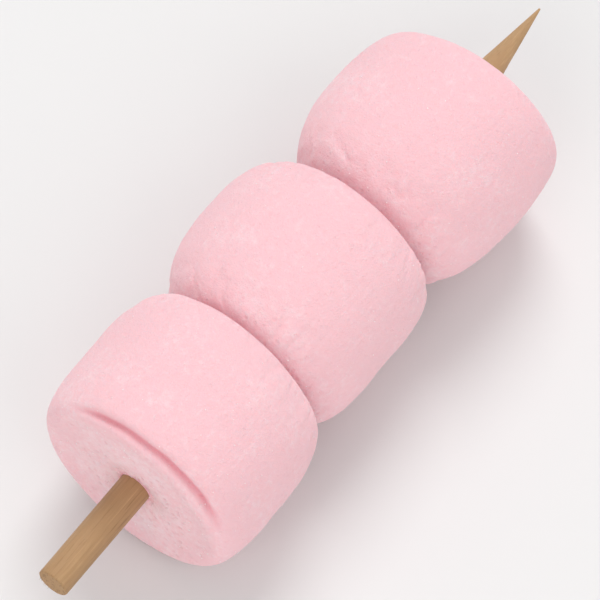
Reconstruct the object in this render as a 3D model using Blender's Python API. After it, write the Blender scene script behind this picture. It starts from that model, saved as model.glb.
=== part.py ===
"""Three pink marshmallows on a short pointed wooden skewer, lying down.

Metres, +Z up. The skewer runs along +X, from its blunt end to its point, and every marshmallow
rests on the plane z = 0. The origin lies on that plane, under the middle of the skewer.
"""

import math
from dataclasses import dataclass

import bmesh
import bpy
from mathutils import Vector, noise

MM = 0.001

# The skewer: a round dowel, cut square at one end and sharpened at the other.
SKEWER_LENGTH = 92.6 * MM
SKEWER_RADIUS = 2.0 * MM
POINT_LENGTH = 12.4 * MM
TIP_RADIUS = 0.12 * MM
TIP_ASIDE = 0.28 * MM  # of the point along Y, as it was cut a little off centre
END_BEVEL = 0.25 * MM
SKEWER_SIDES = 32
POINT_RINGS = 6

# How the marshmallows sit on it.
AXIS_HEIGHT = 13.6 * MM  # of the skewer above the plane they rest on
FIT_GAP = 0.3 * MM  # between any two pieces that touch
BORE_RADIUS = SKEWER_RADIUS + FIT_GAP

# The foam is held straight by the skewer, and further out takes its own shape.
HELD_RADIUS = 3.0 * MM
FREE_RADIUS = 9.0 * MM
LUMP_HEIGHT = 0.3 * MM
LUMP_SPACING = 12.0 * MM

# An end face, from its rim to the skewer.
HOLLOW_REACH = 2.2 * MM  # width of the slope from the rim down to the face
PUCKER_REACH = 1.6 * MM  # width of the foam drawn in or pushed out by the skewer

MARSHMALLOW_SIDES = 48
FACE_RINGS = 9
RIM_RINGS = 6
CREASE_RINGS = (-2.0, -1.0, -0.5, 0.0, 0.5, 1.0, 2.0)  # in half widths from the middle of a crease
SIDE_RINGS = 2
MERGE_DISTANCE = 0.001 * MM


@dataclass
class EndPlane:
    """Where a marshmallow ends. Neighbours share one, and press on each other there."""

    along: float  # its place on the skewer, from the blunt end
    lean: float  # its travel along X for each metre along Y


@dataclass
class Crease:
    """A groove pressed into a rim. It fades out at both ends."""

    rim_turn: float  # its place on the rim's quarter round, counted from the end face
    width: float  # half its width
    depth: float
    middle: float  # its place round the marshmallow, from the top towards +Y
    span: float  # half its length round the marshmallow
    taper: float  # the part of the span in which each end fades out


@dataclass
class EndShape:
    """One end of a marshmallow. Depths count inwards from the end plane."""

    rim_depth: float  # how far the rounded rim reaches along the side
    rim_width: float  # and over the end face
    hollow: float = 0.0  # depth of the face inside the rim
    dome: float = 0.5 * MM  # by which its middle rises again
    pucker: float = 0.0  # depth at the skewer: drawn in if positive, pushed out if negative
    crease: Crease = None  # only a near end has one


@dataclass
class Marshmallow:
    name: str
    radius: float
    aside: tuple  # of the foam from the skewer along Y, at the near end, the middle and the far end
    raised: float  # and along Z
    near: EndShape
    far: EndShape
    seed: int


END_PLANES = (
    EndPlane(along=14.55 * MM, lean=0.01),
    EndPlane(along=34.5 * MM, lean=0.025),
    EndPlane(along=56.3 * MM, lean=0.02),
    EndPlane(along=78.5 * MM, lean=-0.05),
)

RIM_CREASE = Crease(
    rim_turn=math.radians(22),
    width=0.5 * MM,
    depth=0.8 * MM,
    middle=math.radians(-15),
    span=math.radians(63),
    taper=math.radians(30),
)

MARSHMALLOWS = (
    Marshmallow(
        name="marshmallow_1",
        radius=14.05 * MM,
        aside=(0.0, 0.0, 0.0),
        raised=0.0,
        near=EndShape(
            6.5 * MM, 2.1 * MM, hollow=0.45 * MM, dome=0.35 * MM, pucker=0.6 * MM, crease=RIM_CREASE
        ),
        far=EndShape(8.0 * MM, 3.4 * MM),
        seed=1,
    ),
    Marshmallow(
        name="marshmallow_2",
        radius=13.6 * MM,
        aside=(0.0, 1.15 * MM, 0.45 * MM),
        raised=-0.45 * MM,
        near=EndShape(9.8 * MM, 5.2 * MM),
        far=EndShape(7.5 * MM, 3.1 * MM),
        seed=2,
    ),
    Marshmallow(
        name="marshmallow_3",
        radius=13.4 * MM,
        aside=(-0.4 * MM, -0.2 * MM, -0.6 * MM),
        raised=-0.6 * MM,
        near=EndShape(11.5 * MM, 7.5 * MM),
        far=EndShape(8.2 * MM, 2.0 * MM, hollow=0.35 * MM, dome=0.4 * MM, pucker=-0.4 * MM),
        seed=3,
    ),
)


def smooth_step(low, high, value):
    share = min(max((value - low) / (high - low), 0.0), 1.0)
    return share * share * (3 - 2 * share)


def material(name, colour, roughness):
    made = bpy.data.materials.new(name)
    made.use_nodes = True
    shader = made.node_tree.nodes["Principled BSDF"]
    shader.inputs["Base Color"].default_value = (*colour, 1.0)
    shader.inputs["Roughness"].default_value = roughness
    shader.inputs["Metallic"].default_value = 0.0
    return made


def turned(outline, sides, closed):
    """A solid turned round the X axis from (along, radius) pairs. A closed outline leaves a bore."""
    shape = bmesh.new()
    points = [shape.verts.new((along, radius, 0.0)) for along, radius in outline]
    pairs = list(zip(points, points[1:]))
    if closed:
        pairs.append((points[-1], points[0]))
    edges = [shape.edges.new(pair) for pair in pairs]
    bmesh.ops.spin(
        shape,
        geom=points + edges,
        cent=(0, 0, 0),
        axis=(1, 0, 0),
        angle=math.tau,
        steps=sides,
        use_merge=True,
    )
    bmesh.ops.remove_doubles(shape, verts=shape.verts[:], dist=MERGE_DISTANCE)
    bmesh.ops.recalc_face_normals(shape, faces=shape.faces[:])
    return shape


def add_object(name, shape, finish, parent, along):
    mesh = bpy.data.meshes.new(name)
    shape.to_mesh(mesh)
    shape.free()
    mesh.shade_smooth()
    mesh.set_sharp_from_angle(angle=math.radians(40))
    mesh.materials.append(finish)
    made = bpy.data.objects.new(name, mesh)
    bpy.context.scene.collection.objects.link(made)
    made.parent = parent
    made.location.x = along
    return made


def skewer_outline():
    """From the middle of the blunt end to the tip."""
    outline = [(0.0, 0.0), (0.0, SKEWER_RADIUS - END_BEVEL), (END_BEVEL, SKEWER_RADIUS)]
    for ring in range(POINT_RINGS + 1):
        share = ring / POINT_RINGS
        along = SKEWER_LENGTH - POINT_LENGTH * (1 - share)
        outline.append((along, SKEWER_RADIUS + (TIP_RADIUS - SKEWER_RADIUS) * share))
    outline.append((SKEWER_LENGTH, 0.0))
    return outline


def rim_point(end, radius, turn):
    """(depth, radius) on a rim's quarter round, from the end face at 0 to the side at a right angle."""
    rim_radius = radius - end.rim_width
    return end.rim_depth * (1 - math.cos(turn)), rim_radius + end.rim_width * math.sin(turn)


def rim_turns(end):
    """Where the rings of a rim lie on its quarter round. Those of a crease are closer together."""
    even = [math.pi / 2 * ring / RIM_RINGS for ring in range(RIM_RINGS + 1)]
    if not end.crease:
        return even
    valley = end.crease.rim_turn
    pace = math.hypot(end.rim_depth * math.sin(valley), end.rim_width * math.cos(valley))
    close = [valley + end.crease.width / pace * ring for ring in CREASE_RINGS]
    return sorted([turn for turn in even if not close[0] < turn < close[-1]] + close)


def end_outline(end, radius):
    """(depth, radius) pairs from the bore, over one end face and its rim, to the side."""
    rim_radius = radius - end.rim_width
    outline = []
    for ring in range(FACE_RINGS):
        share = ring / FACE_RINGS
        out = BORE_RADIUS + (rim_radius - BORE_RADIUS) * share
        inside_rim = 1 - smooth_step(rim_radius - HOLLOW_REACH, rim_radius, out)
        dome = end.dome * (1 - (out / rim_radius) ** 2)
        pucker = end.pucker * math.exp(-(((out - BORE_RADIUS) / PUCKER_REACH) ** 2))
        outline.append((end.hollow * inside_rim - dome + pucker, out))
    outline += [rim_point(end, radius, turn) for turn in rim_turns(end)]
    return outline


def marshmallow_outline(item, length):
    near = end_outline(item.near, item.radius)
    far = [(length - depth, radius) for depth, radius in reversed(end_outline(item.far, item.radius))]
    side_start, side_end = near[-1][0], far[0][0]
    side = []
    for ring in range(1, SIDE_RINGS + 1):
        along = side_start + (side_end - side_start) * ring / (SIDE_RINGS + 1)
        side.append((along, item.radius))
    return near + side + far


def crease_rim(shape, end, radius):
    """Presses the crease into the near rim, square to the rim's surface."""
    crease = end.crease
    turn = crease.rim_turn
    valley = Vector(rim_point(end, radius, turn))
    inwards = Vector((math.cos(turn) / end.rim_depth, -math.sin(turn) / end.rim_width)).normalized()
    for vert in shape.verts:
        out = math.hypot(vert.co.y, vert.co.z)
        away = (Vector((vert.co.x, out)) - valley).length / crease.width
        aside = abs(math.atan2(vert.co.y, vert.co.z) - crease.middle)
        fade = 1 - smooth_step(crease.span - crease.taper, crease.span, aside)
        push = inwards * crease.depth * fade * math.exp(-(away**2))
        vert.co += Vector((push.x, push.y * vert.co.y / out, push.y * vert.co.z / out))


def between(near, middle, far, share):
    """A smooth curve through three values, at this share of the way from near to far."""
    return near * (1 - share) + far * share + (2 * middle - near - far) * 2 * share * (1 - share)


def lump(place, seed):
    """A soft swelling or dent of the foam at this place."""
    return LUMP_HEIGHT * noise.noise(place / LUMP_SPACING + Vector((0, 0, 10 * seed)))


def settle(shape, item, near, far):
    """Gives the turned shape its own offset, lean and lumps, and presses it on what it touches."""
    length = far.along - near.along
    for vert in shape.verts:
        out = math.hypot(vert.co.y, vert.co.z)
        free = smooth_step(HELD_RADIUS, FREE_RADIUS, out)
        share = min(max(vert.co.x / length, 0.0), 1.0)
        outwards = Vector((0.0, vert.co.y / out, vert.co.z / out))
        aside = Vector((0.0, between(*item.aside, share), item.raised))
        lean = near.lean + (far.lean - near.lean) * share
        vert.co += (outwards * lump(vert.co, item.seed) + aside) * free
        vert.co.x += lean * vert.co.y
        vert.co.z = max(vert.co.z, -AXIS_HEIGHT)


def press(shape, near, far):
    """Flattens the shape on the end planes that it shares with a neighbour."""
    for vert in shape.verts:
        if near in END_PLANES[1:-1]:
            vert.co.x = max(vert.co.x, near.lean * vert.co.y + FIT_GAP / 2)
        if far in END_PLANES[1:-1]:
            wall = far.along - near.along + far.lean * vert.co.y - FIT_GAP / 2
            vert.co.x = min(vert.co.x, wall)


def main():
    for old in list(bpy.data.objects):
        bpy.data.objects.remove(old)

    wood = material("skewer_wood", (0.445, 0.262, 0.136), 0.6)
    foam = material("pink_marshmallow", (0.93, 0.58, 0.62), 0.85)

    axis = bpy.data.objects.new("skewer_axis", None)
    axis.location = (-SKEWER_LENGTH / 2, 0.0, AXIS_HEIGHT)
    bpy.context.scene.collection.objects.link(axis)

    stick = turned(skewer_outline(), SKEWER_SIDES, closed=False)
    for vert in stick.verts:
        to_tip = (SKEWER_LENGTH - vert.co.x) / POINT_LENGTH
        vert.co.y += TIP_ASIDE * max(1 - to_tip, 0.0)
    add_object("skewer", stick, wood, axis, 0.0)

    for item, near, far in zip(MARSHMALLOWS, END_PLANES, END_PLANES[1:]):
        outline = marshmallow_outline(item, far.along - near.along)
        shape = turned(outline, MARSHMALLOW_SIDES, closed=True)
        if item.near.crease:
            crease_rim(shape, item.near, item.radius)
        settle(shape, item, near, far)
        press(shape, near, far)
        add_object(item.name, shape, foam, axis, near.along)


main()
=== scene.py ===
# %% [markdown]
# # A marshmallow skewer
#
# Three pink marshmallows are pushed on a short pointed stick, and the whole lies on a pale table.
# The solids already exist: they were modelled as plain closed bodies for weighing and for collision.
# This lesson dresses them. It keeps every size and place, and adds what the eye needs: soft skin, the
# marks that a stick leaves in foam, starch dust, and wood with a grain.

# %% Load the solids
import math
from typing import NamedTuple

import bmesh
import bpy
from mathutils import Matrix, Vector


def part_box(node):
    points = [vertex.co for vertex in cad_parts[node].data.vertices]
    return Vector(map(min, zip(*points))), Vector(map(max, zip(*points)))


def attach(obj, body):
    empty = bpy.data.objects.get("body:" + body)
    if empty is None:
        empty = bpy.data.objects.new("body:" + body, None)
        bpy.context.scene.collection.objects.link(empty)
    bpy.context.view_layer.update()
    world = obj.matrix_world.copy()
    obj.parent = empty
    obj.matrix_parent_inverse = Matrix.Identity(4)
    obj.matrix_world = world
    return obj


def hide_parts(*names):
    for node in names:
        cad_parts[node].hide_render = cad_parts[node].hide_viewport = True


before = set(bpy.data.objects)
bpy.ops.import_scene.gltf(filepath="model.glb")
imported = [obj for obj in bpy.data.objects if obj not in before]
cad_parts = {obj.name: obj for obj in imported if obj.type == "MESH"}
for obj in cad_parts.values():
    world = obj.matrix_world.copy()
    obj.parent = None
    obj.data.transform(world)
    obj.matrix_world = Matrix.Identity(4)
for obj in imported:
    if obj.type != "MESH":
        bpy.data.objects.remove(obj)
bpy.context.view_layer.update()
MM = 0.001
print("solids:", ", ".join(sorted(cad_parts)))

# %% [markdown]
# ## Where the stick runs
#
# Everything is arranged round the stick, so its axis comes first. The box of the stick's solid gives its
# two ends, its thickness and the axis' height above the table. Sideways the axis lies at y = 0. The box
# can't tell that, because the point was cut a little off centre.

# %% Measure the stick
stick_low, stick_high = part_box("skewer")
STICK_RADIUS = (stick_high.z - stick_low.z) / 2
AXIS_HEIGHT = (stick_high.z + stick_low.z) / 2
print("stick radius, mm:", round(STICK_RADIUS / MM, 2), " height, mm:", round(AXIS_HEIGHT / MM, 2))

# %% [markdown]
# ## Camera
#
# The skewer is looked down on from its grip end, and it crosses the frame from corner to corner. A very
# long lens far away keeps the marshmallows the same size along the row. A short one close by would
# swell the nearest.

# %% Place the camera
CAMERA_AZIMUTH = math.radians(-52.73)
CAMERA_ELEVATION = math.radians(63.23)
CAMERA_DISTANCE = 0.955
CAMERA_LENS = 500.0
CAMERA_REACH = 20.0
AIM = Vector((-0.0009, -0.0005, AXIS_HEIGHT))


def placed(name, data):
    """An object made of this data, in the scene."""
    made = bpy.data.objects.new(name, data)
    bpy.context.scene.collection.objects.link(made)
    return made


def direction(azimuth, elevation):
    """The unit vector from the object towards a place round it. Azimuth 0 is in front, at -Y."""
    across = math.cos(elevation)
    return Vector((math.sin(azimuth) * across, -math.cos(azimuth) * across, math.sin(elevation)))


towards_camera = direction(CAMERA_AZIMUTH, CAMERA_ELEVATION)
camera = placed("camera", bpy.data.cameras.new("camera"))
camera.data.lens = CAMERA_LENS
camera.data.clip_end = CAMERA_REACH
camera.location = AIM + towards_camera * CAMERA_DISTANCE
camera.rotation_euler = towards_camera.to_track_quat("Z", "Y").to_euler()
bpy.context.scene.camera = camera
print("camera at", [round(part, 3) for part in camera.location])

# %% [markdown]
# ## Sums as nodes
#
# Blender's shaders and its Geometry Nodes are both graphs. Written out node by node they are hard to
# read, so a `Wire` stands for one output of a node and takes part in Python sums: `1 - mask` adds a Math
# node, and `mask * 2` another. The reflected forms, such as `__rsub__`, are what lets a plain number
# stand on the left.

# %% Wires
def sum_of(operation, turned=False):
    """An operator that adds a Math node. A turned one has its wire on the right."""

    def operator(self, *others):
        values = (self, *others)
        return self.math(operation, *(values[::-1] if turned else values))

    return operator


class Wire:
    """One output socket, for use in sums."""

    def __init__(self, tree, socket):
        self.tree = tree
        self.socket = socket

    def math(self, operation, *values):
        """The result of a new Math node. The values are all its inputs, with this wire among them."""
        settings, values = {"operation": operation}, dict(enumerate(values))
        return self.tree.add("ShaderNodeMath", settings, values)["Value"]

    def at_least(self, least):
        return self.math("MAXIMUM", self, least)

    __add__ = sum_of("ADD")
    __radd__ = sum_of("ADD", turned=True)
    __sub__ = sum_of("SUBTRACT")
    __rsub__ = sum_of("SUBTRACT", turned=True)
    __mul__ = sum_of("MULTIPLY")
    __rmul__ = sum_of("MULTIPLY", turned=True)
    __truediv__ = sum_of("DIVIDE")
    __pow__ = sum_of("POWER")
    __abs__ = sum_of("ABSOLUTE")


print("reflected forms:", ", ".join(name for name in vars(Wire) if name.startswith("__r")))

# %% [markdown]
# ## A graph that is written line by line
#
# A `Graph` adds any other node with one method, from its type, its settings and what its sockets get. A
# value that is a wire is linked, and any other is set. Its other methods add, stretch, join and split
# vectors, which a Math node would flatten to one number.

# %% Graphs
def socket_of(sockets, name):
    """A socket by its place or its name. Of several with that name, the one in use."""
    if isinstance(name, int):
        return sockets[name]
    return next(socket for socket in sockets if socket.name == name and socket.enabled)


class Node:
    """One node, whose outputs are wires."""

    def __init__(self, tree, node):
        self.tree = tree
        self.node = node

    def __getitem__(self, name):
        return Wire(self.tree, socket_of(self.node.outputs, name))


class Graph:
    """A node graph that is written with add()."""

    def __init__(self, graph):
        self.graph = graph

    def add(self, kind, settings=None, values=None):
        node = self.graph.nodes.new(kind)
        for name, value in (settings or {}).items():
            setattr(node, name, value)
        for name, value in (values or {}).items():
            socket = socket_of(node.inputs, name)
            if isinstance(value, Wire):
                self.graph.links.new(value.socket, socket)
            else:
                socket.default_value = value
        return Node(self, node)

    def vector(self, operation, *values):
        values = dict(enumerate(values))
        return self.add("ShaderNodeVectorMath", {"operation": operation}, values)["Vector"]

    def scaled(self, vector, factor):
        values = {"Vector": vector, "Scale": factor}
        return self.add("ShaderNodeVectorMath", {"operation": "SCALE"}, values)["Vector"]

    def joined(self, x, y, z):
        return self.add("ShaderNodeCombineXYZ", None, {"X": x, "Y": y, "Z": z})["Vector"]

    def parts(self, vector):
        made = self.add("ShaderNodeSeparateXYZ", None, {"Vector": vector})
        return made["X"], made["Y"], made["Z"]


print("a graph can:", ", ".join(name for name in vars(Graph) if not name.startswith("__")))

# %% [markdown]
# ## Phrases that come back
#
# A `Tree` is a graph that also knows what this lesson says often: a smooth step, a bell, soft noise,
# scattered dots, where a point is and which way it looks, and a fact, which is a number that every point
# of a piece carries under a name.

# %% Trees
class Tree(Graph):
    """A graph with the phrases of this lesson."""

    def step(self, value, low, high):
        """0 below low, 1 above high, and smooth in between. With low above high it falls instead."""
        settings = {"interpolation_type": "SMOOTHSTEP"}
        values = {"Value": value, "From Min": low, "From Max": high}
        return self.add("ShaderNodeMapRange", settings, values)["Result"]

    def falloff(self, value, reach):
        """1 at 0, and falling like a bell: a third at reach, nothing at twice that."""
        share = value / reach
        squared = share * share
        return squared.math("EXPONENT", squared * -1.0)

    def noise(self, place, spacing, detail=2.0, roughness=0.5):
        """Soft noise from -1 to 1, whose lumps are about this far apart."""
        values = {"Vector": place, "Scale": 1 / spacing, "Detail": detail, "Roughness": roughness}
        return self.add("ShaderNodeTexNoise", None, values)["Fac"] * 2 - 1

    def cells(self, place, spacing):
        """Scattered dots about this far apart: the distance to the nearest, in spacings, and its luck."""
        values = {"Vector": place, "Scale": 1 / spacing}
        made = self.add("ShaderNodeTexVoronoi", None, values)
        return made["Distance"], self.parts(made["Color"])[0]

    def here(self):
        return self.add("GeometryNodeInputPosition")["Position"]

    def normal(self):
        return self.add("GeometryNodeInputNormal")["Normal"]

    def fact(self, name):
        """A number that the points of the piece carry under this name."""
        if self.graph.type == "SHADER":
            return self.add("ShaderNodeAttribute", {"attribute_name": name})["Fac"]
        settings = {"data_type": "FLOAT"}
        return self.add("GeometryNodeInputNamedAttribute", settings, {"Name": name})["Attribute"]


print("a tree can also:", ", ".join(name for name in vars(Tree) if not name.startswith("__")))

# %% [markdown]
# ## Light
#
# A marshmallow is almost white, matt and a little see-through, so hard light would bleach one side.
# Three sun lamps with wide discs give soft edged shadows, and an even white sky fills them. Suns light
# the whole table evenly, where a lamp close by would leave it dark further off. The main one shines
# from behind the point, so the end face that looks at the camera stays a little darker than the round
# side, and a weaker warm one keeps that face from turning grey.

# %% Lamps and sky
WHITE = (1.0, 1.0, 1.0)
WARM_WHITE = (1.0, 0.96, 0.93)
SKY_STRENGTH = 0.58


def sun(name, azimuth, elevation, disc, strength, colour=WHITE):
    """A soft sun lamp. Its angles and the width of its disc are in degrees."""
    made = placed(name, bpy.data.lights.new(name, "SUN"))
    made.data.energy = strength
    made.data.angle = math.radians(disc)
    made.data.color = colour
    away = direction(math.radians(azimuth), math.radians(elevation))
    made.location = away
    made.rotation_euler = away.to_track_quat("Z", "Y").to_euler()


sun("main_sun", azimuth=118.0, elevation=52.0, disc=30.0, strength=1.45)
sun("front_sun", azimuth=-10.0, elevation=40.0, disc=45.0, strength=0.45)
sun("grip_sun", azimuth=-80.0, elevation=35.0, disc=45.0, strength=0.70, colour=WARM_WHITE)

sky = bpy.data.worlds.new("sky")
sky.use_nodes = True
sky_light = sky.node_tree.nodes["Background"].inputs
sky_light["Color"].default_value = (*WHITE, 1.0)
sky_light["Strength"].default_value = SKY_STRENGTH
bpy.context.scene.world = sky
bpy.context.scene.view_settings.view_transform = "Standard"

# %% [markdown]
# ## Table
#
# The skewer lies on a round paper sweep: flat where things lie, then curving up so that no edge or
# horizon shows from the side. Its outline is drawn as a chain of edges and spun round the middle.

# %% Lay out the paper sweep
SWEEP_FLAT, SWEEP_BEND, SWEEP_TURN = 2.0, 1.0, math.radians(70)
SWEEP_STEPS, SWEEP_SIDES = 20, 96
SWEEP_MERGE = 0.1 * MM
PAPER, PAPER_ROUGHNESS = (0.768, 0.768, 0.768), 0.9


def paper_sweep():
    outline = [(0.0, 0.0)]
    for step in range(SWEEP_STEPS + 1):
        turn = SWEEP_TURN * step / SWEEP_STEPS
        outline.append((SWEEP_FLAT + SWEEP_BEND * math.sin(turn), SWEEP_BEND * (1 - math.cos(turn))))
    sheet = bmesh.new()
    chain = [sheet.verts.new((out, 0.0, up)) for out, up in outline]
    chain += [sheet.edges.new(pair) for pair in zip(chain, chain[1:])]
    middle, upright = (0.0, 0.0, 0.0), (0.0, 0.0, 1.0)
    bmesh.ops.spin(sheet, geom=chain, cent=middle, axis=upright, angle=math.tau, steps=SWEEP_SIDES)
    bmesh.ops.remove_doubles(sheet, verts=sheet.verts, dist=SWEEP_MERGE)
    bmesh.ops.recalc_face_normals(sheet, faces=sheet.faces)
    bmesh.ops.reverse_faces(sheet, faces=sheet.faces)  # an open sheet's faces come out downwards
    mesh = bpy.data.meshes.new("paper_sweep")
    sheet.to_mesh(mesh)
    sheet.free()
    mesh.shade_smooth()
    return placed("paper_sweep", mesh)


paper = bpy.data.materials.new("paper")
paper.use_nodes = True
paper_shader = paper.node_tree.nodes["Principled BSDF"]
paper_shader.inputs["Base Color"].default_value = (*PAPER, 1.0)
paper_shader.inputs["Roughness"].default_value = PAPER_ROUGHNESS
sweep = paper_sweep()
sweep.data.materials.append(paper)
print("sweep faces:", len(sweep.data.polygons))

# %% [markdown]
# ## A rolled sheet
#
# A marshmallow and the stick are both round a line, so both start as a sheet of quads rolled round that
# line: a section, drawn as points along and out from the axis, is carried round it. Blender's Spin would
# do it too, but here each point also carries facts about its place in the section, which later steps
# read back.

# %% Roll a section round the stick
class SectionPoint(NamedTuple):
    along: float  # its place on X
    out: float  # its distance from the axis
    facts: dict  # name: number, the same all round


def rolled(name, section, sides, closed):
    """An object: the section carried round the stick's axis. A closed one ends where it starts."""
    corners = []
    for point in section:
        for side in range(sides):
            turn = math.tau * side / sides
            height = AXIS_HEIGHT + point.out * math.cos(turn)
            corners.append((point.along, point.out * math.sin(turn), height))
    faces = []
    for row in range(len(section) if closed else len(section) - 1):
        here, there = row * sides, (row + 1) % len(section) * sides
        for side in range(sides):
            beside = (side + 1) % sides
            faces.append((here + side, there + side, there + beside, here + beside))
    mesh = bpy.data.meshes.new(name)
    mesh.from_pydata(corners, [], faces)
    for fact in section[0].facts:
        values = [point.facts[fact] for point in section for _ in range(sides)]
        mesh.attributes.new(fact, "FLOAT", "POINT").data.foreach_set("value", values)
    return placed(name, mesh)


print("a section point has:", ", ".join(SectionPoint._fields))

# %% [markdown]
# ## Graphs that make shapes
#
# A geometry graph needs named inputs, so that one graph can be used for several pieces with other sizes.
# Each graph here ends in the same three nodes: smooth shading, then Realize Instances, which turns copies
# into real mesh, and Set Material. `grown` gives a piece such a graph as a modifier, sets the inputs by
# their identifiers, and swaps the piece's mesh for the result, so that nothing stays live on it.

# %% Geometry trees and how they are used
def geometry_tree(name, inputs):
    """An empty geometry graph with these inputs, its input node and a call that sets its result."""
    graph = bpy.data.node_groups.new(name, "GeometryNodeTree")
    for kind, labels in {"Geometry": ["Geometry"], **inputs, "Material": ["Material"]}.items():
        for label in labels:
            graph.interface.new_socket(label, in_out="INPUT", socket_type="NodeSocket" + kind)
    graph.interface.new_socket("Geometry", in_out="OUTPUT", socket_type="NodeSocketGeometry")
    tree = Tree(graph)
    start = tree.add("NodeGroupInput")

    def end(geometry):
        smooth = tree.add("GeometryNodeSetShadeSmooth", None, {"Geometry": geometry})["Geometry"]
        real = tree.add("GeometryNodeRealizeInstances", None, {"Geometry": smooth})["Geometry"]
        values = {"Geometry": real, "Material": start["Material"]}
        coated = tree.add("GeometryNodeSetMaterial", None, values)["Geometry"]
        tree.add("NodeGroupOutput", None, {"Geometry": coated})
        print(name, "nodes:", len(graph.nodes))

    return tree, start, end


def grown(piece, tree, values):
    """Gives the piece the shape that the tree makes of it."""
    modifier = piece.modifiers.new("shape", "NODES")
    modifier.node_group = tree.graph
    for item in tree.graph.interface.items_tree:
        if item.in_out == "INPUT" and item.name in values:
            modifier[item.identifier] = values[item.name]
    bpy.context.view_layer.update()
    evaluated = piece.evaluated_get(bpy.context.evaluated_depsgraph_get())
    mesh = bpy.data.meshes.new_from_object(evaluated)
    piece.modifiers.clear()
    piece.data = mesh
    mesh.name = piece.name
    mesh.calc_loop_triangles()
    print(piece.name, "triangles:", len(mesh.loop_triangles))
    return piece


print("made:", geometry_tree.__name__, "and", grown.__name__)

# %% [markdown]
# ## Where a point is
#
# Most of the marks depend on how far a point is from the stick, and on which way from it. In a geometry
# graph such a sum is a field: it is worked out afresh on whatever geometry asks for it, so it is
# written once for each graph and stays true after the points have moved.

# %% Points round the stick
class Spot(NamedTuple):
    """A point's place, as wires."""

    x: Wire
    y: Wire
    up: Wire  # from the axis
    out: Wire  # its distance from the axis


def spot_of(tree):
    x, y, z = tree.parts(tree.here())
    up = z - AXIS_HEIGHT
    return Spot(x, y, up, (y * y + up * up) ** 0.5)


def spoke(tree, spot, along, out):
    """A vector: so far along the axis, and so far out from it in the spot's direction."""
    return tree.joined(along, spot.y / spot.out * out, spot.up / spot.out * out)


def moved(tree, geometry, **how):
    return tree.add("GeometryNodeSetPosition", None, {"Geometry": geometry, **how})["Geometry"]


def noted(tree, geometry, name, value):
    """The geometry, whose points now carry this fact."""
    settings = {"data_type": "FLOAT", "domain": "POINT"}
    values = {"Geometry": geometry, "Name": name, "Value": value}
    return tree.add("GeometryNodeStoreNamedAttribute", settings, values)["Geometry"]


print("a spot has:", ", ".join(Spot._fields))

# %% [markdown]
# ## What all finishes share
#
# Each finish is a Principled BSDF. Numbers that are the same all over are set on its own sockets, and
# only what varies is wired to it. Patterns read Object coordinates: every piece's object sits at the
# origin, so those are real places in metres, and a pattern has the same size on every piece.

# %% Finish helpers
def shader_tree(name):
    """A material with a Principled BSDF, its graph as a Tree, and the place on the object."""
    material = bpy.data.materials.new(name)
    material.use_nodes = True
    tree = Tree(material.node_tree)
    place = tree.add("ShaderNodeTexCoord")["Object"]
    return material, tree, place


def finish_with(tree, constants, wires):
    """Sets the Principled BSDF: numbers that are the same all over, and wires for what varies."""
    shader = tree.graph.nodes["Principled BSDF"]
    for name, value in constants.items():
        shader.inputs[name].default_value = value
    for name, wire in wires.items():
        tree.graph.links.new(wire.socket, shader.inputs[name])


def mixed(tree, share, first, second):
    """A colour between two others."""
    settings = {"data_type": "RGBA", "clamp_factor": True}
    values = {"Factor": share, "A": first, "B": second}
    return tree.add("ShaderNodeMix", settings, values)["Result"]


def bumped(tree, height, depth):
    """A normal for this height, a wire from 0 to 1 or so, that stands depth metres high."""
    values = {"Height": height, "Distance": depth, "Strength": 1.0}
    return tree.add("ShaderNodeBump", None, values)["Normal"]


print("made:", shader_tree.__name__, "and", finish_with.__name__)

# %% [markdown]
# ## The finish of the foam
#
# Foam sugar is soft pink all through. Its side was squeezed from a nozzle and is smooth, with faint
# lines along it. Its ends were cut and show fine pores, which are painted a deeper pink as shade in them.
# Starch keeps the pieces from sticking, and leaves them matt, paler in patches, and velvety at grazing
# angles. Where the foam is torn it has no starch on it and shows a deeper pink. The crease is painted
# darker still, as shade in its groove and the bare foam's deeper pink. Light enters a little and comes
# out redder, which subsurface scattering gives. How much each pattern counts in the sums was tried out.

# %% Foam material
PINK = (0.905, 0.56, 0.605, 1.0)
DEEP_PINK = (0.88, 0.44, 0.49, 1.0)
# the crease's colour: painted shade in its groove, with the bare foam's deeper pink
CREASE_SHADE_PINK = (0.80, 0.30, 0.35, 1.0)
STARCH_PINK = (0.925, 0.70, 0.735, 1.0)
NOZZLE_LINE, NOZZLE_STRETCH = 0.5 * MM, 0.08  # how far apart, and how little they change along X
STARCH_CLOUD, STARCH_FLECK, FOAM_GRAIN, FOAM_PORE = 6.0 * MM, 0.9 * MM, 0.2 * MM, 0.75 * MM
PORE_LEAST, PORE_SPREAD, PORE_FLOOR = 0.10, 0.38, 0.14  # widths, next to how far apart pores are
SIDE_PORES = 0.3  # how much of a pore shows on the smooth side
# the pores' tint is painted shade in them, and the crease's is painted shade in its groove
POWDER_TINT, PORE_SHADE_TINT, TORN_TINT, CREASE_SHADE_TINT = 0.8, 0.3, 0.7, 0.8
FOAM_RELIEF = 0.08 * MM


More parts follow.
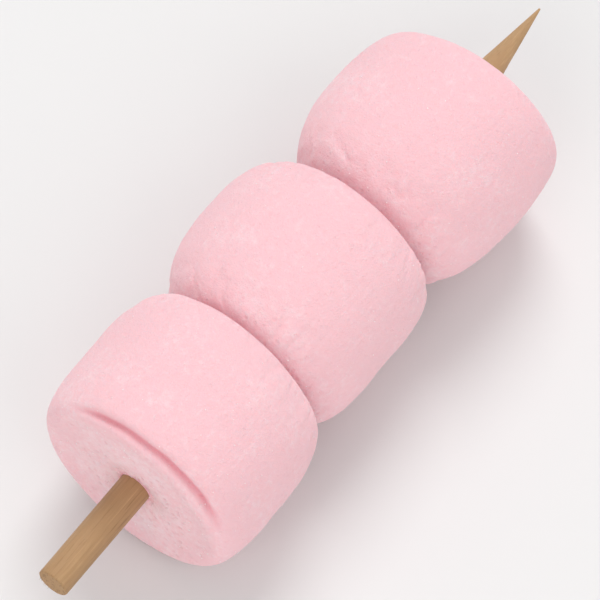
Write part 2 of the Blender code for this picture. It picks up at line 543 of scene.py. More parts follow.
def foam_material():
    material, tree, place = shader_tree("pink_foam")
    cut, torn, creased = tree.fact("cut"), tree.fact("torn"), tree.fact("creased")
    x, y, z = tree.parts(place)
    lines = tree.noise(tree.joined(x * NOZZLE_STRETCH, y, z), NOZZLE_LINE)
    clouds = tree.noise(place, STARCH_CLOUD, 3.0, 0.6)
    flecks = tree.noise(place, STARCH_FLECK, 4.0, 0.75)
    grain = tree.noise(place, FOAM_GRAIN, 2.0, 0.6)
    from_pore, luck = tree.cells(place, FOAM_PORE)
    pore = tree.step(from_pore, PORE_LEAST + PORE_SPREAD * luck, PORE_FLOOR * luck)
    pore = pore * (SIDE_PORES + (1 - SIDE_PORES) * cut)
    powder = tree.step(clouds * 0.5 + flecks * 0.8 + cut * 0.3, -0.05, 0.65)
    colour = mixed(tree, powder * POWDER_TINT, PINK, STARCH_PINK)
    # the pores' deeper pink is painted shade in them; the torn foam's is its own bare colour
    colour = mixed(tree, pore * PORE_SHADE_TINT + torn * TORN_TINT, colour, DEEP_PINK)
    # painted shade in the crease's groove, with the bare foam's deeper pink
    colour = mixed(tree, creased * CREASE_SHADE_TINT, colour, CREASE_SHADE_PINK)
    height = grain * 0.5 + lines * 0.4 * (1 - cut) + flecks * 0.9 - pore * 1.3
    constants = {
        "Subsurface Weight": 0.22,
        "Subsurface Radius": (1.0, 0.42, 0.34),
        "Subsurface Scale": 1.6 * MM,
        "Sheen Weight": 0.12,
        "Sheen Roughness": 0.5,
        "Sheen Tint": (1.0, 0.86, 0.88, 1.0),
        "IOR": 1.4,
        "Specular IOR Level": 0.3,
    }
    roughness = 0.82 + powder * 0.12 - torn * 0.25
    normal = bumped(tree, height, FOAM_RELIEF)
    finish_with(tree, constants, {"Base Color": colour, "Roughness": roughness, "Normal": normal})
    return material


foam = foam_material()
print("foam nodes:", len(foam.node_tree.nodes))

# %% [markdown]
# ## A drum for the skin
#
# The marshmallows' solids are faceted and a little plain. One way to better them is to subdivide a copy,
# but then its flat parts have hardly any points to work with. So a fine drum of even quads is rolled
# round the stick, and the next step lays it on the solid. The drum is simple: two end faces, two
# quarter-round corners and a side. Each point carries the way that it looks, which is square to the
# drum, its place in the corner, and whether it lies on a cut end.

# %% Draw the drum's section
DRUM_SIDES = 320
FACE_ROWS, CORNER_ROWS, SIDE_ROWS = 54, 56, 50
FACE_CROWDING = 1.7  # rows crowd towards the stick, where the folds are
CUT_SHARE = 0.6  # of the corner, in which the cut face's pores fade out
LIP_RADIUS = STICK_RADIUS + 0.015 * MM


def skin_point(along, out, look_along, look_out, cut, corner_turn):
    facts = {"look_along": look_along, "look_out": look_out, "cut": cut, "corner_turn": corner_turn}
    return SectionPoint(along, out, facts)


def end_rows(start, inwards, corner, radius):
    """One end of the drum: its face, from the bore outwards, and then its corner."""
    rows = []
    face_radius = radius - corner
    for row in range(FACE_ROWS):
        out = LIP_RADIUS + (face_radius - LIP_RADIUS) * (row / FACE_ROWS) ** FACE_CROWDING
        rows.append(skin_point(start, out, -inwards, 0.0, cut=1.0, corner_turn=0.0))
    for row in range(CORNER_ROWS + 1):
        turn = math.pi / 2 * row / CORNER_ROWS
        level, upright = math.cos(turn), math.sin(turn)
        along, out = start + inwards * corner * (1 - level), face_radius + corner * upright
        cut = max(0.0, 1 - row / CORNER_ROWS / CUT_SHARE)
        rows.append(skin_point(along, out, -inwards * level, upright, cut, math.degrees(turn)))
    return rows


def drum_section(low, high, corner):
    """A marshmallow's closed section, from the near lip of its bore round the outside to the far lip."""
    radius = max(high.y - low.y, high.z - low.z) / 2
    near = end_rows(low.x, 1, corner, radius)
    far = end_rows(high.x, -1, corner, radius)[::-1]
    side = []
    for row in range(1, SIDE_ROWS):
        along = near[-1].along + (far[0].along - near[-1].along) * row / SIDE_ROWS
        side.append(skin_point(along, radius, 0.0, 1.0, cut=0.0, corner_turn=90.0))
    return near + side + far


print("rows in a section:", 2 * (FACE_ROWS + CORNER_ROWS + 1) + SIDE_ROWS - 1)

# %% [markdown]
# ## Laying the skin on the solid
#
# Shrinkwrap could pull the drum on to the solid, but it slides points together round a corner. Here each
# point looks outwards from inside the foam, and moves to where its look meets the solid. That lays a
# supple skin exactly on it, lumps, lean and flats included, and the points stay evenly spaced.

# %% Look outwards and lay the skin
HELD_RADIUS = STICK_RADIUS + 0.55 * MM  # nearer the stick than this there is no solid to look at
HELD_EDGE = 0.01 * MM
SOLID_MERGE = 0.002 * MM
LOOK_LENGTH = 0.03


def laid_on_solid(tree, start, spot):
    look_along, look_out = tree.fact("look_along"), tree.fact("look_out")
    look = spoke(tree, spot, look_along, look_out)
    eye_out = (spot.out - start["Drum Corner"] * look_out).at_least(HELD_RADIUS)
    from_axis = spoke(tree, spot, spot.x - start["Drum Corner"] * look_along, eye_out)
    eye = tree.vector("ADD", from_axis, (0.0, 0.0, AXIS_HEIGHT))
    solid = tree.add("GeometryNodeObjectInfo", None, {"Object": start["Solid"]})["Geometry"]
    values = {"Geometry": solid, "Distance": SOLID_MERGE}
    merged = tree.add("GeometryNodeMergeByDistance", None, values)["Geometry"]
    values = {"Target Geometry": merged, "Source Position": eye, "Ray Direction": look}
    values["Ray Length"] = LOOK_LENGTH
    hit = tree.add("GeometryNodeRaycast", None, values)["Hit Position"]
    hit_x, hit_y, hit_z = tree.parts(hit)
    by_stick = tree.step(spot.out, HELD_RADIUS + HELD_EDGE, HELD_RADIUS)
    across = hit_y + (spot.y - hit_y) * by_stick
    height = hit_z + (spot.up + AXIS_HEIGHT - hit_z) * by_stick
    return moved(tree, start["Geometry"], Position=tree.joined(hit_x, across, height))


print("looks reach", round(LOOK_LENGTH / MM), "mm")

# %% [markdown]
# ## Blurring out the facets
#
# The solid is faceted, and the skin shows it. Blurring the points' places smooths it, with the lips of
# the bore held where they are. A blur also shrinks whatever bulges, so what a second blur would take
# away is put back. Together they smooth the skin and leave its size alone.

# %% Smooth the skin
SMOOTHING = 55
PUT_BACK = 0.95
HELD_LIP = 1.0 * MM  # from the bore, over which the blur comes in


def smoothed(tree, spot, skin):
    share = tree.step(spot.out, LIP_RADIUS, LIP_RADIUS + HELD_LIP)

    def blurred(value):
        values = {"Value": value, "Iterations": SMOOTHING, "Weight": share}
        settings = {"data_type": "FLOAT_VECTOR"}
        return tree.add("GeometryNodeBlurAttribute", settings, values)["Value"]

    once = blurred(tree.here())
    shrunk = tree.scaled(tree.vector("SUBTRACT", once, blurred(once)), PUT_BACK)
    return moved(tree, skin, Position=tree.vector("ADD", once, shrunk))


print("blur steps:", SMOOTHING)

# %% [markdown]
# ## Pressing on the neighbours
#
# The solids keep a gap of a third of a millimetre between two marshmallows, which foam would close. The
# faces that look straight along the stick at a neighbour are moved until they all but touch it. They
# also get a fact, `hidden`, so that later steps leave them alone: a dent there might cut the neighbour.

# %% Close the gaps
CLOSED_GAP = 0.13 * MM
FACING_FROM, FACING_FULLY = 0.96, 0.995  # how far a face looks along the stick


def pressed(tree, start, skin):
    facing = tree.parts(tree.normal())[0]
    near = tree.step(0 - facing, FACING_FROM, FACING_FULLY) * start["Near Pressed"]
    far = tree.step(facing, FACING_FROM, FACING_FULLY) * start["Far Pressed"]
    skin = noted(tree, skin, "hidden", near + far)
    return moved(tree, skin, Offset=tree.joined((far - near) * CLOSED_GAP, 0.0, 0.0))


print("each face moves, mm:", CLOSED_GAP / MM)

# %% [markdown]
# ## Swellings and bubbles
#
# No piece of foam is quite regular. Broad swellings and smaller dents come from noise at two sizes. Pits
# are burst bubbles: scattered dots, of which a random half is used, deeper on the cut ends.

# %% Mark the foam's own unevenness
SWELL_SPACING, DENT_SPACING, PIT_SPACING = 9.0 * MM, 2.4 * MM, 2.1 * MM
PIT_RIM, PIT_FLOOR = 0.24, 0.04  # distances from its middle, next to how far apart pits are
PITS_LEFT_OUT, PITS_KEPT = 0.5, 0.6  # luck below which a dot makes no pit, and above which a whole one
SIDE_PITS = 0.6  # how deep they are on the smooth side


def unevenness(tree, start, place):
    swell = tree.noise(place, SWELL_SPACING, 1.0) * start["Swell"]
    dent = tree.noise(place, DENT_SPACING, 3.0) * start["Dent"]
    from_pit, luck = tree.cells(place, PIT_SPACING)
    depth = SIDE_PITS + (1 - SIDE_PITS) * tree.fact("cut")
    pits = tree.step(from_pit, PIT_RIM, PIT_FLOOR) * tree.step(luck, PITS_LEFT_OUT, PITS_KEPT) * depth
    return swell + dent - pits * start["Pit"]


print("marks, mm apart:", [round(gap / MM, 1) for gap in (SWELL_SPACING, DENT_SPACING, PIT_SPACING)])

# %% [markdown]
# ## Folds where the stick goes through
#
# The stick drags the skin with it, and the skin gathers in short folds that run out from the hole like
# spokes. A noise that hardly changes outwards has thin lines where it passes zero, and a bell on it
# turns those lines into folds, uneven as real ones are. A finer noise makes the very lip ragged.

# %% Fold the skin round the stick
FOLD_REACH, RAG_REACH = 1.9 * MM, 0.6 * MM
FOLD_SPACING, RAG_SPACING = 2.2 * MM, 0.5 * MM
SPOKE_RADIUS, SPOKE_STRETCH = 3.0 * MM, 0.25
LINE_WIDTH, LINE_LEVEL = 0.16, 0.25
RAG_SHARE = 0.4  # of a fold's depth


def stick_folds(tree, start, spot, place):
    """How deep the folds are, with the ragged lip."""
    from_lip = spot.out - LIP_RADIUS
    ring = spoke(tree, spot, start["Seed"] + spot.out * SPOKE_STRETCH, SPOKE_RADIUS)
    line = tree.falloff(tree.noise(ring, FOLD_SPACING), LINE_WIDTH)
    folds = (line - LINE_LEVEL) * tree.falloff(from_lip, FOLD_REACH)
    rag = tree.noise(place, RAG_SPACING, 3.0) * tree.falloff(from_lip, RAG_REACH)
    return (folds - rag * RAG_SHARE) * start["Fold"]


print("folds reach, mm:", FOLD_REACH / MM)

# %% [markdown]
# ## Folds where two marshmallows squeeze
#
# Foam that is squeezed between neighbours also gathers at the seam, in folds that run along the stick.
# They come from the same kind of line noise, kept to the pressed ends and clear of the stick.

# %% Pinch the skin at the seams
PINCH_SPACING, PINCH_STRETCH, PINCH_WIDTH = 3.4 * MM, 0.12, 0.13
PINCH_TURN, PINCH_SPAN = 48.0, 26.0  # their place in the corner and half their length, in degrees
CLEAR_FROM, CLEAR_FULLY = 5.0 * MM, 8.0 * MM


def seam_folds(tree, start, spot, near_half):
    """How deep the folds are."""
    along = tree.joined(start["Seed"] + spot.x * PINCH_STRETCH, spot.y, spot.up)
    line = tree.falloff(tree.noise(along, PINCH_SPACING, 1.0), PINCH_WIDTH)
    pressed_half = near_half * start["Near Pressed"] + (1 - near_half) * start["Far Pressed"]
    by_seam = tree.falloff(tree.fact("corner_turn") - PINCH_TURN, PINCH_SPAN) * pressed_half
    return line * by_seam * tree.step(spot.out, CLEAR_FROM, CLEAR_FULLY) * start["Pinch"]


print("seam folds, mm apart:", PINCH_SPACING / MM)

# %% [markdown]
# ## The crease along the rim
#
# The first marshmallow was squashed a little at its rim, and a crease stayed there: one long groove
# round the top of the end face that fades out at both ends. The solid has it too, plainly. Here a bell
# across it and a smooth step along it deepen it, and a wider bell raises the foam on both its sides a
# little, as squeezed foam is. It wavers too, since nobody squeezes evenly. Its middle is later tinted
# darker, as painted shade in the groove with the bare foam's deeper pink.

# %% Crease the rim
CREASE_TURN, CREASE_WIDTH = 42.0, 4.6  # its place in the corner and half its width, in degrees
CREASE_MIDDLE, CREASE_SPAN = -15.0, 63.0  # its place round the stick, from the top, and half its span
CREASE_TAPER = 30.0  # how far its depth fades out at either end, in degrees
STRAY, STRAY_LENGTH = 1.6, 5.0 * MM  # how far it wavers, in degrees, and how often
LIP_WIDTH, LIP_SHARE = 2.4, 0.2  # of the foam beside it, next to the crease's own width and depth


def rim_crease(tree, start, spot, near_half):
    """The crease's depth as a share, and a narrower share for its painted shade."""
    ring = tree.joined(start["Seed"], spot.y, spot.up)
    turn = tree.fact("corner_turn") - CREASE_TURN + tree.noise(ring, STRAY_LENGTH, 1.0) * STRAY
    across, lips = tree.falloff(turn, CREASE_WIDTH), tree.falloff(turn, CREASE_WIDTH * LIP_WIDTH)
    aside = abs(spot.y.math("ARCTAN2", spot.y, spot.up) * math.degrees(1.0) - CREASE_MIDDLE)
    along = tree.step(aside, CREASE_SPAN, CREASE_SPAN - CREASE_TAPER) * near_half
    return (across - lips * LIP_SHARE) * along, across * across * along


print("crease spans, degrees:", 2 * CREASE_SPAN)

# %% [markdown]
# ## Putting the marks together
#
# The marks add up to one relief, which moves each point along its normal. Facts for the finish are noted
# first: where the foam is torn by the stick, and where the crease gets its painted shade.

# %% Add up the marks
HALF_EDGE = 1.0 * MM  # over which the near half's marks fade out
TORN_REACH = 0.45 * MM
LIP_EDGE = 0.05 * MM
# a crease as deep as this gets its painted shade
CREASE_SHADE_FROM = 0.1 * MM  # a crease as deep as this gets its colour


def marked(tree, start, spot, skin):
    seed = tree.joined(start["Seed"], 0.0, 0.0)
    place = tree.vector("ADD", tree.here(), seed)
    near_half = tree.step(spot.x, start["Middle"] + HALF_EDGE, start["Middle"])
    at_end = tree.step(tree.fact("cut"), 0.5, 1.0)
    free = 1 - tree.fact("hidden")
    crease, crease_shade_share = rim_crease(tree, start, spot, near_half)
    torn = tree.falloff(spot.out - LIP_RADIUS, TORN_REACH) * at_end * free
    relief = (
        unevenness(tree, start, place)
        - stick_folds(tree, start, spot, place) * at_end
        - seam_folds(tree, start, spot, near_half)
        - crease * start["Crease"]
    )
    relief = relief * free * tree.step(spot.out, LIP_RADIUS, LIP_RADIUS + LIP_EDGE)
    skin = noted(tree, skin, "torn", torn)
    has_crease = tree.step(start["Crease"], 0.0, CREASE_SHADE_FROM)
    # where the crease's painted shade goes, on a marshmallow that has a crease
    skin = noted(tree, skin, "creased", crease_shade_share * has_crease)
    return moved(tree, skin, Offset=tree.scaled(tree.normal(), relief))


print("foam is torn as far out as, mm:", round((LIP_RADIUS + 2 * TORN_REACH) / MM, 2))

# %% [markdown]
# ## The whole skin
#
# The tree runs through the steps in order. At the end nothing may sink into the table, so the lowest
# points are set down on it, which makes the small flats that soft things have.

# %% Build the skin tree
SKIN_PLACES = ["Drum Corner", "Near Pressed", "Far Pressed", "Middle", "Seed"]
SKIN_MARKS = ["Swell", "Dent", "Pit", "Fold", "Pinch", "Crease"]
SKIN_INPUTS = {"Object": ["Solid"], "Float": SKIN_PLACES + SKIN_MARKS}


def skin_tree():
    tree, start, end = geometry_tree("foam skin", SKIN_INPUTS)
    spot = spot_of(tree)
    skin = laid_on_solid(tree, start, spot)
    skin = smoothed(tree, spot, skin)
    skin = pressed(tree, start, skin)
    skin = marked(tree, start, spot, skin)
    on_table = tree.joined(spot.x, spot.y, (spot.up + AXIS_HEIGHT).at_least(0.0))
    end(moved(tree, skin, Position=on_table))
    return tree


foam_skin = skin_tree()

# %% [markdown]
# ## Three marshmallows
#
# The same graph makes all three. Each gets its own solid, its own amount of marks and its own seed, so
# that no two are alike. The middle one has no open end, so it hardly needs folds round the stick. The
# last one has the deepest, because the point came out there. A size that isn't given stays 0.

# %% Make the marshmallows
SKINS = {
    "marshmallow_1": {"Far Pressed": 1.0, "Fold": 0.30 * MM, "Crease": 0.85 * MM, "Seed": 0.11},
    "marshmallow_2": {"Near Pressed": 1.0, "Far Pressed": 1.0, "Fold": 0.05 * MM, "Seed": 0.23},
    "marshmallow_3": {"Near Pressed": 1.0, "Fold": 0.35 * MM, "Seed": 0.37},
}
DRUM_CORNER = 6.0 * MM
SHARED_SIZES = {
    "Drum Corner": DRUM_CORNER,
    "Swell": 0.17 * MM,
    "Dent": 0.07 * MM,
    "Pit": 0.11 * MM,
    "Pinch": 0.20 * MM,
    "Material": foam,
}


def finished(piece, node):
    """Sets the piece on the root body, and hides the solid that it stands for, if any."""
    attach(piece, "root")
    if node:
        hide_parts(node)


marshmallows = []
for node, skin in SKINS.items():
    low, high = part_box(node)
    drum = rolled("foam_" + node, drum_section(low, high, DRUM_CORNER), DRUM_SIDES, closed=True)
    own = {"Solid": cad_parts[node], "Middle": (low.x + high.x) / 2, **skin}
    marshmallow = grown(drum, foam_skin, {**SHARED_SIZES, **own})
    finished(marshmallow, node)
    marshmallows.append(marshmallow)

# %% [markdown]
# ## Scattering
#
# Starch dust, and the loose fibres that come later, are small things strewn over a piece. Distribute
# Points on Faces picks their places, and Instance on Points sets a copy on each. Random numbers vary
# their sizes and turns. All of it starts from the tree's own seed, so every run strews them alike.

# %% Scattering helpers
def scattered(tree, start, surface, density):
    """Points on this object's faces, so many to a square metre."""
    mesh = tree.add("GeometryNodeObjectInfo", None, {"Object": surface})["Geometry"]
    values = {"Mesh": mesh, "Density": density, "Seed": start["Seed"]}
    return tree.add("GeometryNodeDistributePointsOnFaces", None, values)


def copied(tree, points, shape, turn, size):
    """The shape, set on every point."""
    values = {"Points": points, "Instance": shape, "Rotation": turn, "Scale": size}
    return tree.add("GeometryNodeInstanceOnPoints", None, values)["Instances"]


def random_vector(tree, start, low, high):
    """Three random numbers between these for each point."""
    settings = {"data_type": "FLOAT_VECTOR"}
    values = {"Min": (low, low, low), "Max": (high, high, high), "Seed": start["Seed"]}
    return tree.add("FunctionNodeRandomValue", settings, values)["Value"]


def luck_of(tree, start):
    """A random number from 0 to 1 for each point."""
    values = {"Seed": start["Seed"]}
    return tree.add("FunctionNodeRandomValue", {"data_type": "FLOAT"}, values)["Value"]


print("made:", scattered.__name__, "and", copied.__name__)

# %% [markdown]
# ## Starch dust
#
# Loose starch lies on the skin in grains that the eye just makes out. A texture can't stand up from the
# surface, so a tree scatters tiny round grains: it picks places at random, more of them on the cut ends
# and in patches, none where two marshmallows press together, and sets a grain of a random size on each.
# The grains sit half sunk, as dust does in a tacky skin, and stay clear of the table.

# %% Build the dust tree
DUST_INPUTS = {"Object": ["Skin"], "Float": ["Density", "Smallest", "Largest"], "Int": ["Seed"]}
DUST_PATCH = 5.0 * MM
DUST_FLOOR, DUST_FULL = 0.3 * MM, 0.6 * MM  # heights between which the dust thins out to nothing
BARE_DUST = 0.15  # how much lies between the patches
SIDE_DUST = 0.6  # how much lies on the smooth side, next to 1.6 on the cut ends
FEW_LARGE = 6.0  # the higher, the fewer large grains
GRAIN_NARROWEST, GRAIN_WIDEST = 0.6, 1.3  # next to its size


def dust_tree():
    tree, start, end = geometry_tree("starch dust", DUST_INPUTS)
    place = tree.here()
    patches = tree.step(tree.noise(place, DUST_PATCH, 3.0, 0.6), -0.35, 0.5)
    off_table = tree.step(tree.parts(place)[2], DUST_FLOOR, DUST_FULL)
    share = (BARE_DUST + patches) * (SIDE_DUST + tree.fact("cut")) * (1 - tree.fact("hidden")) * off_table
    points = scattered(tree, start, start["Skin"], share * start["Density"])["Points"]
    spread = start["Largest"] - start["Smallest"]
    size = start["Smallest"] + spread * luck_of(tree, start) ** FEW_LARGE
    shape = random_vector(tree, start, GRAIN_NARROWEST, GRAIN_WIDEST)
    turn = random_vector(tree, start, 0.0, math.tau)
    grain = tree.add("GeometryNodeMeshIcoSphere", None, {"Radius": 0.5, "Subdivisions": 1})["Mesh"]
    end(copied(tree, points, grain, turn, tree.scaled(shape, size)))
    return tree


starch_dust = dust_tree()

# %% [markdown]
# ## Dusting the marshmallows
#
# Starch is white, but on a thin sticky skin it looks pale pink, and no two grains are quite alike. One
# finish with a slow noise in it serves all the grains. Each marshmallow gets dust of its own.

# %% Dust each marshmallow
DULL_STARCH = (0.94, 0.72, 0.74, 1.0)
BRIGHT_STARCH = (0.96, 0.84, 0.85, 1.0)
GRAIN_SHADE = 0.6 * MM


def starch_material():
    material, tree, place = shader_tree("starch")
    shade = tree.step(tree.noise(place, GRAIN_SHADE, 1.0), -0.5, 0.5)
    colour = mixed(tree, shade, DULL_STARCH, BRIGHT_STARCH)
    finish_with(tree, {"Specular IOR Level": 0.2}, {"Base Color": colour, "Roughness": 0.9 + shade * 0.1})
    return material


starch = starch_material()
for number, marshmallow in enumerate(marshmallows, start=1):
    name = "starch_%d" % number
    sizes = {
        "Skin": marshmallow,
        "Density": 1.6e6,
        "Smallest": 0.045 * MM,
        "Largest": 0.21 * MM,
        "Seed": number,
        "Material": starch,
    }
    dust = grown(placed(name, bpy.data.meshes.new(name)), starch_dust, sizes)
    finished(dust, None)

# %% [markdown]
# ## The finish of the stick
#
# The stick is bamboo. Its fibres run straight along it, some pale and some dark, and a freshly cut one
# is dull with a slight silky gloss on the fibres. Stretched noise gives such lines: the place along
# the stick is shrunk to a few hundredths before the noise reads it. On the blunt end the fibres are
# seen end on, as dark dots in pale wood, and on the point the cutter went through them at a slant.

# %% Bamboo material
WOOD = (0.415, 0.247, 0.118, 1.0)
PALE_WOOD = (0.57, 0.365, 0.190, 1.0)
DARK_WOOD = (0.220, 0.112, 0.045, 1.0)
BAND, FIBRE, FINE_FIBRE = 1.5 * MM, 0.42 * MM, 0.12 * MM
FIBRE_STRETCH, FINE_STRETCH = 0.03, 0.06  # how little they change along X
BUNDLE, END_MOTTLE, STAIN = 0.33 * MM, 0.3 * MM, 5.0 * MM
BUNDLE_EDGE, BUNDLE_CORE = 0.42, 0.22  # distances from its middle, next to how far apart they are
PALE_TINT, DARK_TINT, POINT_TINT = 0.75, 0.7, 0.3
WOOD_RELIEF = 0.05 * MM


def bamboo_material():
    material, tree, place = shader_tree("bamboo")
    butt, point = tree.fact("butt"), tree.fact("point")
    x, y, z = tree.parts(place)
    stretched = tree.joined(x * FIBRE_STRETCH, y, z)
    bands = tree.noise(stretched, BAND)
    fibres = tree.noise(stretched, FIBRE, 3.0, 0.7)
    fine = tree.noise(tree.joined(x * FINE_STRETCH, y, z), FINE_FIBRE)
    from_bundle = tree.cells(tree.joined(0.0, y, z), BUNDLE)[0]
    bundles = tree.step(from_bundle, BUNDLE_EDGE, BUNDLE_CORE)
    stains = tree.noise(place, STAIN, 3.0)
    mottle = tree.noise(place, END_MOTTLE)
    dark = tree.step(fibres * 0.9 + bands * 0.4 + fine * 0.3, 0.08, 0.5)
    pale = tree.step(0 - fibres * 0.8 - bands * 0.4 + stains * 0.25, 0.05, 0.5)
    colour = mixed(tree, pale * PALE_TINT, WOOD, PALE_WOOD)
    colour = mixed(tree, dark * DARK_TINT, colour, DARK_WOOD)
    colour = mixed(tree, point * POINT_TINT, colour, PALE_WOOD)
    end_grain = mixed(tree, bundles * 0.75 + mottle * 0.15, WOOD, DARK_WOOD)
    colour = mixed(tree, butt, colour, end_grain)
    height = (fibres * 0.6 + fine * 0.4) * (1 - butt) + (bundles + mottle * 0.4) * butt * 0.8
    constants = {
        "IOR": 1.5,
        "Specular IOR Level": 0.4,
        "Sheen Weight": 0.05,
        "Subsurface Weight": 0.05,
        "Subsurface Radius": (1.0, 0.5, 0.25),
        "Subsurface Scale": 0.4 * MM,
    }
    roughness = 0.58 + dark * 0.14 + butt * 0.2 + point * 0.08
    normal = bumped(tree, height, WOOD_RELIEF)
    finish_with(tree, constants, {"Base Color": colour, "Roughness": roughness, "Normal": normal})
    return material


bamboo = bamboo_material()
print("bamboo nodes:", len(bamboo.node_tree.nodes))

# %% [markdown]
# ## The stick's section
#
# The stick is a round rod, cut off square at one end with its edge just broken, and sharpened like a
# pencil at the other. A cylinder and a cone would do, but they would have no points along them to carve.
# Its section is drawn and rolled round the axis like the marshmallows'. Each point carries whether it
# lies on the blunt end or on the cut point.

# %% Draw the stick's section
STICK_SIDES = 128
BUTT_ROWS, EDGE_ROWS, ROD_ROWS, POINT_ROWS = 9, 4, 100, 52
POINT_LENGTH = 12.4 * MM
EDGE = 0.25 * MM
TIP_RADIUS = 0.12 * MM
SHOULDER = stick_high.x - POINT_LENGTH


def stick_section():
    """From the middle of the blunt end, along the rod, to the tip."""
    butt, tip = stick_low.x, stick_high.x
    rows = []

    def row(along, out, on_butt=0.0, on_point=0.0):
        rows.append(SectionPoint(along, out, {"butt": on_butt, "point": on_point}))

    for step in range(BUTT_ROWS):
        row(butt, (STICK_RADIUS - EDGE) * step / BUTT_ROWS, on_butt=1.0)
    for step in range(EDGE_ROWS + 1):
        turn = math.pi / 2 * step / EDGE_ROWS
        along = butt + EDGE * (1 - math.cos(turn))
        row(along, STICK_RADIUS - EDGE * (1 - math.sin(turn)), on_butt=1 - step / EDGE_ROWS)
    for step in range(1, ROD_ROWS + 1):
        row(butt + EDGE + (SHOULDER - butt - EDGE) * step / ROD_ROWS, STICK_RADIUS)
    for step in range(1, POINT_ROWS + 1):
        share = step / POINT_ROWS
        out = STICK_RADIUS + (TIP_RADIUS - STICK_RADIUS) * share
        row(SHOULDER + POINT_LENGTH * share, out, on_point=min(1.0, step / 2))
    row(tip, 0.0, on_point=1.0)
    return rows


print("rows on the stick:", len(stick_section()))

# %% [markdown]
# ## Carving the stick
#
# The tree leans the point over to where the solid's tip is, gives the rod the shallow grooves that run
# between the fibres, and puts a few flat strokes of the cutter on the point. Last, it merges each end's
# innermost ring, which has no width, into one point.

# %% Build the stick tree
STICK_INPUTS = {"Float": ["Shoulder", "Tip", "Tip Aside", "Groove", "Stroke"]}
GROOVE_SPACING, GROOVE_STRETCH = 0.55 * MM, 0.02
WAVER_SPACING, WAVER_STRETCH = 14.0 * MM, 0.3
STROKE_SPACING, STROKE_STRETCH = 0.9 * MM, 0.22
GROOVE_SHARE, WAVER_SHARE, ROD_LEVEL, STROKE_LEVEL = 0.7, 0.3, 0.5, 0.6
SAW_MARK = 0.5 * MM
RING_MERGE = 0.001 * MM


def carved_relief(tree, start, spot, point):
    """How far the surface stands out. It mostly goes inwards."""
    x, y, z = spot.x, spot.y, spot.up + AXIS_HEIGHT
    grooves = tree.noise(tree.joined(x * GROOVE_STRETCH, y, z), GROOVE_SPACING)
    waver = tree.noise(tree.joined(x, y * WAVER_STRETCH, z * WAVER_STRETCH), WAVER_SPACING, 1.0)
    strokes = tree.noise(spoke(tree, spot, x * STROKE_STRETCH, MM), STROKE_SPACING, 1.0)
    on_rod = grooves * GROOVE_SHARE + waver * WAVER_SHARE - ROD_LEVEL
    on_rod = on_rod * start["Groove"] * (1 - point)
    on_point = (strokes - STROKE_LEVEL) * start["Stroke"] * point
    return on_rod + on_point * tree.step(spot.out, 0.0, STICK_RADIUS)


def stick_tree():
    tree, start, end = geometry_tree("whittled stick", STICK_INPUTS)
    spot = spot_of(tree)
    butt, point = tree.fact("butt"), tree.fact("point")
    relief = carved_relief(tree, start, spot, point) * (1 - butt)
    saw_marks = tree.noise(tree.joined(0.0, spot.y, spot.up + AXIS_HEIGHT), SAW_MARK)
    sink = (saw_marks * butt * start["Groove"]).at_least(0.0)
    lean = (spot.x - start["Shoulder"]) / (start["Tip"] - start["Shoulder"])
    lean = lean.at_least(0.0) * start["Tip Aside"]
    offset = tree.vector("ADD", spoke(tree, spot, sink, relief), tree.joined(0.0, lean, 0.0))
    values = {"Geometry": moved(tree, start["Geometry"], Offset=offset), "Distance": RING_MERGE}
    end(tree.add("GeometryNodeMergeByDistance", None, values)["Geometry"])
    return tree


whittled_stick = stick_tree()

# %% [markdown]
# ## The stick
#
# The rolled section, the carving graph and the bamboo finish come together here. The stick replaces its
# solid, and it keeps the solid's length, thickness and leaning tip.

# %% Make the stick
TIP_ASIDE = 0.28 * MM
rod = rolled("bamboo_stick", stick_section(), STICK_SIDES, closed=False)
sizes = {
    "Shoulder": SHOULDER,
    "Tip": stick_high.x,
    "Tip Aside": TIP_ASIDE,
    "Groove": 0.035 * MM,
    "Stroke": 0.07 * MM,
    "Material": bamboo,
}
stick = grown(rod, whittled_stick, sizes)
finished(stick, "skewer")

# %% [markdown]
# ## Loose fibres
#
# However sharp the saw, a few fibres of bamboo come loose: short ones stand off the edge of the blunt
# end, and others lie almost flat along the cut point. Each is a tiny tapered sliver. The tree scatters
# them on the stick where it was cut, turns them along its surface and lifts them a little.

# %% Build the fibre tree
FIBRE_SIZES = ["Butt", "Shoulder", "Density", "Length", "Thickness", "Lift"]
FIBRE_INPUTS = {"Object": ["Stick"], "Float": FIBRE_SIZES, "Int": ["Seed"]}
FRAYED, FRAY_EDGE = 0.7 * MM, 0.1 * MM  # how far from the blunt end its edge is frayed
FRAY_SHARE = 6  # fibres there for each one on the point
BARE_NECK = 1.0 * MM  # of the point, which has no fibres
LEAST_LIFT, LEAST_LENGTH = 0.3, 0.4
BUTT_LENGTH = 0.6  # of the fibres there, next to those on the point
SLIVER = {"Vertices": 5, "Radius Top": 0.15, "Radius Bottom": 1.0, "Depth": 1.0}


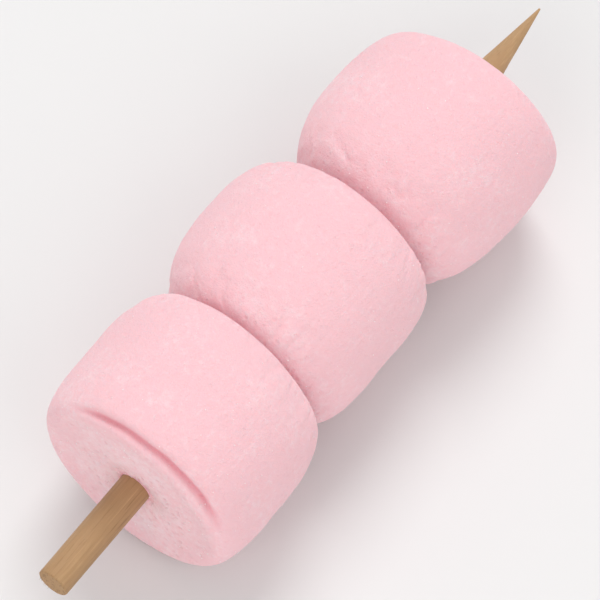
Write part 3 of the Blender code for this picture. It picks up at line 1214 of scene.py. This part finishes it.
def frayed(tree, start, x):
    """How thickly the fibres lie here: on the side by the blunt end, and on the point."""
    on_side = tree.step(abs(tree.parts(tree.normal())[0]), 0.9, 0.7)
    by_butt = tree.step(x, start["Butt"] + FRAYED, start["Butt"] + FRAYED - FRAY_EDGE)
    on_point = tree.step(x, start["Shoulder"] + BARE_NECK, start["Shoulder"] + 2 * BARE_NECK)
    return (by_butt * on_side * FRAY_SHARE + on_point) * start["Density"]


def fibre_tree():
    tree, start, end = geometry_tree("loose fibres", FIBRE_INPUTS)
    x = tree.parts(tree.here())[0]
    roots = scattered(tree, start, start["Stick"], frayed(tree, start, x))
    points, facing = roots["Points"], roots["Normal"]
    luck = luck_of(tree, start)
    to_tip = tree.step(x, start["Shoulder"], start["Shoulder"] + FRAY_EDGE) * 2 - 1
    lift = start["Lift"] * (LEAST_LIFT + luck * luck) - tree.parts(facing)[0] * to_tip
    heading = tree.vector("ADD", tree.joined(to_tip, 0.0, 0.0), tree.scaled(facing, lift))
    turn = tree.add("FunctionNodeAlignRotationToVector", {"axis": "Z"}, {"Vector": heading})["Rotation"]
    sliver = tree.add("GeometryNodeMeshCone", None, SLIVER)["Mesh"]
    length = LEAST_LENGTH + (1 - LEAST_LENGTH) * luck
    length = start["Length"] * length * ((1 + BUTT_LENGTH) / 2 + (1 - BUTT_LENGTH) / 2 * to_tip)
    size = tree.joined(start["Thickness"], start["Thickness"], length)
    end(copied(tree, points, sliver, turn, size))
    return tree


loose_fibres = fibre_tree()

# %% [markdown]
# ## The fibres on this stick
#
# A few dozen are enough. More would make the stick look snapped, and not sawn.

# %% Scatter the fibres
sizes = {
    "Stick": stick,
    "Butt": stick_low.x,
    "Shoulder": SHOULDER,
    "Density": 0.28e6,
    "Length": 0.8 * MM,
    "Thickness": 0.025 * MM,
    "Lift": 0.10,
    "Seed": 4,
    "Material": bamboo,
}
fibres = placed("loose_fibres", bpy.data.meshes.new("loose_fibres"))
grown(fibres, loose_fibres, sizes)
finished(fibres, None)

# %% [markdown]
# ## Sizes, and the end
#
# The dressed skewer fills the same box as its solids, give or take the fibres.
